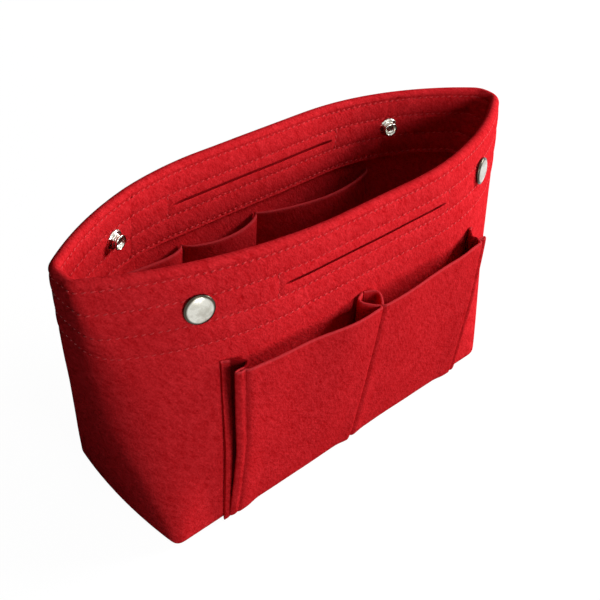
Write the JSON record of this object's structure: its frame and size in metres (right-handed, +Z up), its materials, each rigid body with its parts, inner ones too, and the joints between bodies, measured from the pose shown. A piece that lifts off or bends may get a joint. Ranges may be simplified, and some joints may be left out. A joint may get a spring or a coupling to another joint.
{
  "type": "purse organizer insert",
  "caption": "Open-topped felt insert that organises a handbag: leaning walls, bellows front pockets, inner pockets, slit pockets and press snaps.",
  "frame": {"origin": "centre of the base's underside", "axes": "+Z up, +X along the length, front wall with the bellows pockets facing -Y"},
  "size_m": [0.293, 0.1092, 0.16],
  "materials": {
    "wall_felt": "red needle felt, matte and slightly fuzzy",
    "facing_felt": "red needle felt, matte and slightly fuzzy",
    "pocket_felt": "red needle felt, thinner, matte and slightly fuzzy",
    "nickel_snap": "polished nickel plate",
    "spring_wire": "bright spring wire"
  },
  "bodies": {
    "base": {"base_panel": "wall_felt", "left_end_panel": "wall_felt", "right_end_panel": "wall_felt", "left_end_facing": "facing_felt", "right_end_facing": "facing_felt"},
    "front_wall": {"front_panel": "wall_felt", "front_facing": "facing_felt", "left_outer_gusset": "pocket_felt", "left_middle_gusset": "pocket_felt", "right_middle_gusset": "pocket_felt", "right_outer_gusset": "pocket_felt", "left_snap_front_cap": "nickel_snap", "left_snap_socket": "nickel_snap", "left_snap_ring_spring": "spring_wire", "right_snap_front_cap": "nickel_snap", "right_snap_socket": "nickel_snap", "right_snap_ring_spring": "spring_wire"},
    "back_wall": {"back_panel": "wall_felt", "back_facing": "facing_felt", "inner_pocket_small": "pocket_felt", "inner_pocket_middle": "pocket_felt", "inner_pocket_large": "pocket_felt", "left_snap_back_cap": "nickel_snap", "left_snap_stud": "nickel_snap", "right_snap_back_cap": "nickel_snap", "right_snap_stud": "nickel_snap"},
    "left_pocket": {"left_pocket_face": "pocket_felt"},
    "right_pocket": {"right_pocket_face": "pocket_felt"}
  },
  "joints": [
    {"name": "front_wall_lean", "type": "hinge", "parent": "base", "child": "front_wall", "pos_m": [0, -0.0405, 0.0015], "axis": [-1, 0, 0], "range_deg": [-6, 8.5], "stiffness_Nm_per_rad": 0.9, "deforming": ["left_end_panel", "right_end_panel", "left_end_facing", "right_end_facing"]},
    {"name": "back_wall_lean", "type": "hinge", "parent": "base", "child": "back_wall", "pos_m": [0, 0.0405, 0.0015], "axis": [1, 0, 0], "range_deg": [-6, 8.5], "stiffness_Nm_per_rad": 0.9, "deforming": ["left_end_panel", "right_end_panel", "left_end_facing", "right_end_facing"]},
    {"name": "left_pocket_press", "type": "hinge", "parent": "front_wall", "child": "left_pocket", "pos_m": [0, -0.0474, 0.0055], "axis": [-1, 0, 0], "range_deg": [0, 5.6], "stiffness_Nm_per_rad": 0.15, "deforming": ["left_outer_gusset", "left_middle_gusset"]},
    {"name": "right_pocket_press", "type": "hinge", "parent": "front_wall", "child": "right_pocket", "pos_m": [0, -0.0474, 0.0055], "axis": [-1, 0, 0], "range_deg": [0, 5.6], "stiffness_Nm_per_rad": 0.15, "deforming": ["right_middle_gusset", "right_outer_gusset"]}
  ],
  "couplings": [
    {"joint": "right_pocket_press", "follows": "left_pocket_press", "ratio": 1}
  ]
}
